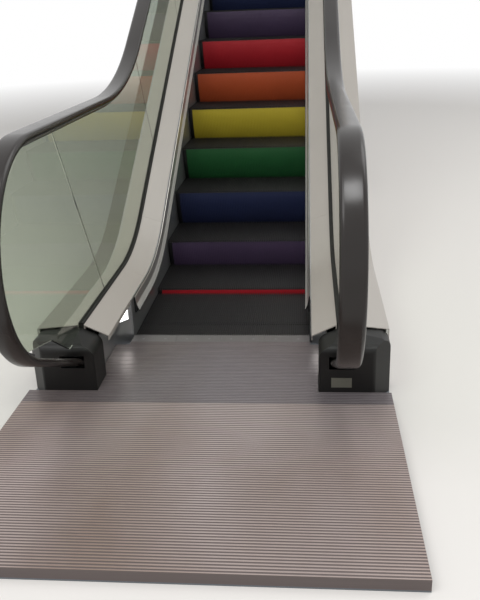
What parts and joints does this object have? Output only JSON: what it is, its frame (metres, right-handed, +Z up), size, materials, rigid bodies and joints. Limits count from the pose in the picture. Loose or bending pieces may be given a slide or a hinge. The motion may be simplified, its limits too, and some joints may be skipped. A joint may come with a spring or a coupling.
{
  "type": "escalator",
  "caption": "Escalator with glass balustrades, black handrails, coloured step risers, combs and landing plates between two floors.",
  "frame": {"origin": "middle of the lower comb line, on the underside of the base pan at ground level", "axes": "+X across the machine to the right as a passenger boards at the bottom, +Y uphill along the machine, +Z up"},
  "size_m": [1.416, 10.8668, 4.72],
  "materials": {
    "landing_plate": "ribbed satin",
    "comb_plate": "satin",
    "comb": "cast satin",
    "step_red": "satin film on black",
    "step_violet": "satin film on black",
    "step_blue": "satin film on black",
    "step_green": "satin film on black",
    "step_yellow": "satin film on black",
    "step_orange": "satin film on black",
    "skirt": "brushed",
    "brush": "bristle",
    "deck": "satin powder coat",
    "glass": "clear with a green tint",
    "glass_clamp": "matt",
    "handrail": "glossy, worn smooth",
    "handrail_guide": "satin",
    "inlet": "fine texture",
    "comb_light": "lit diffuser",
    "cladding": "satin",
    "structure": "matt primer"
  },
  "bodies": {
    "root": {"base_pan": "structure", "landing_plate_lower": "landing_plate", "landing_plate_upper": "landing_plate", "comb_plate_lower": "comb_plate", "comb_plate_upper": "comb_plate", "combs_lower": "comb", "combs_upper": "comb", "steps_red": "step_red", "steps_violet": "step_violet", "steps_blue": "step_blue", "steps_green": "step_green", "steps_yellow": "step_yellow", "steps_orange": "step_orange", "skirt_left": "skirt", "skirt_right": "skirt", "brush_left": "brush", "brush_right": "brush", "inner_deck_left": "deck", "inner_deck_right": "deck", "outer_deck_left": "deck", "outer_deck_right": "deck", "glass_left": "glass", "glass_right": "glass", "glass_clamp_left": "glass_clamp", "glass_clamp_right": "glass_clamp", "handrail_left": "handrail", "handrail_right": "handrail", "handrail_guide_left": "handrail_guide", "handrail_guide_right": "handrail_guide", "inlet_lower_left": "inlet", "inlet_lower_right": "inlet", "inlet_upper_left": "inlet", "inlet_upper_right": "inlet", "comb_lights": "comb_light", "cladding_left": "cladding", "cladding_right": "cladding", "soffit": "cladding", "truss_left": "structure", "truss_right": "structure", "truss_crossbeams": "structure", "step_tracks": "structure", "brackets_left": "structure", "brackets_right": "structure", "upper_bearing": "structure"}
  },
  "joints": []
}
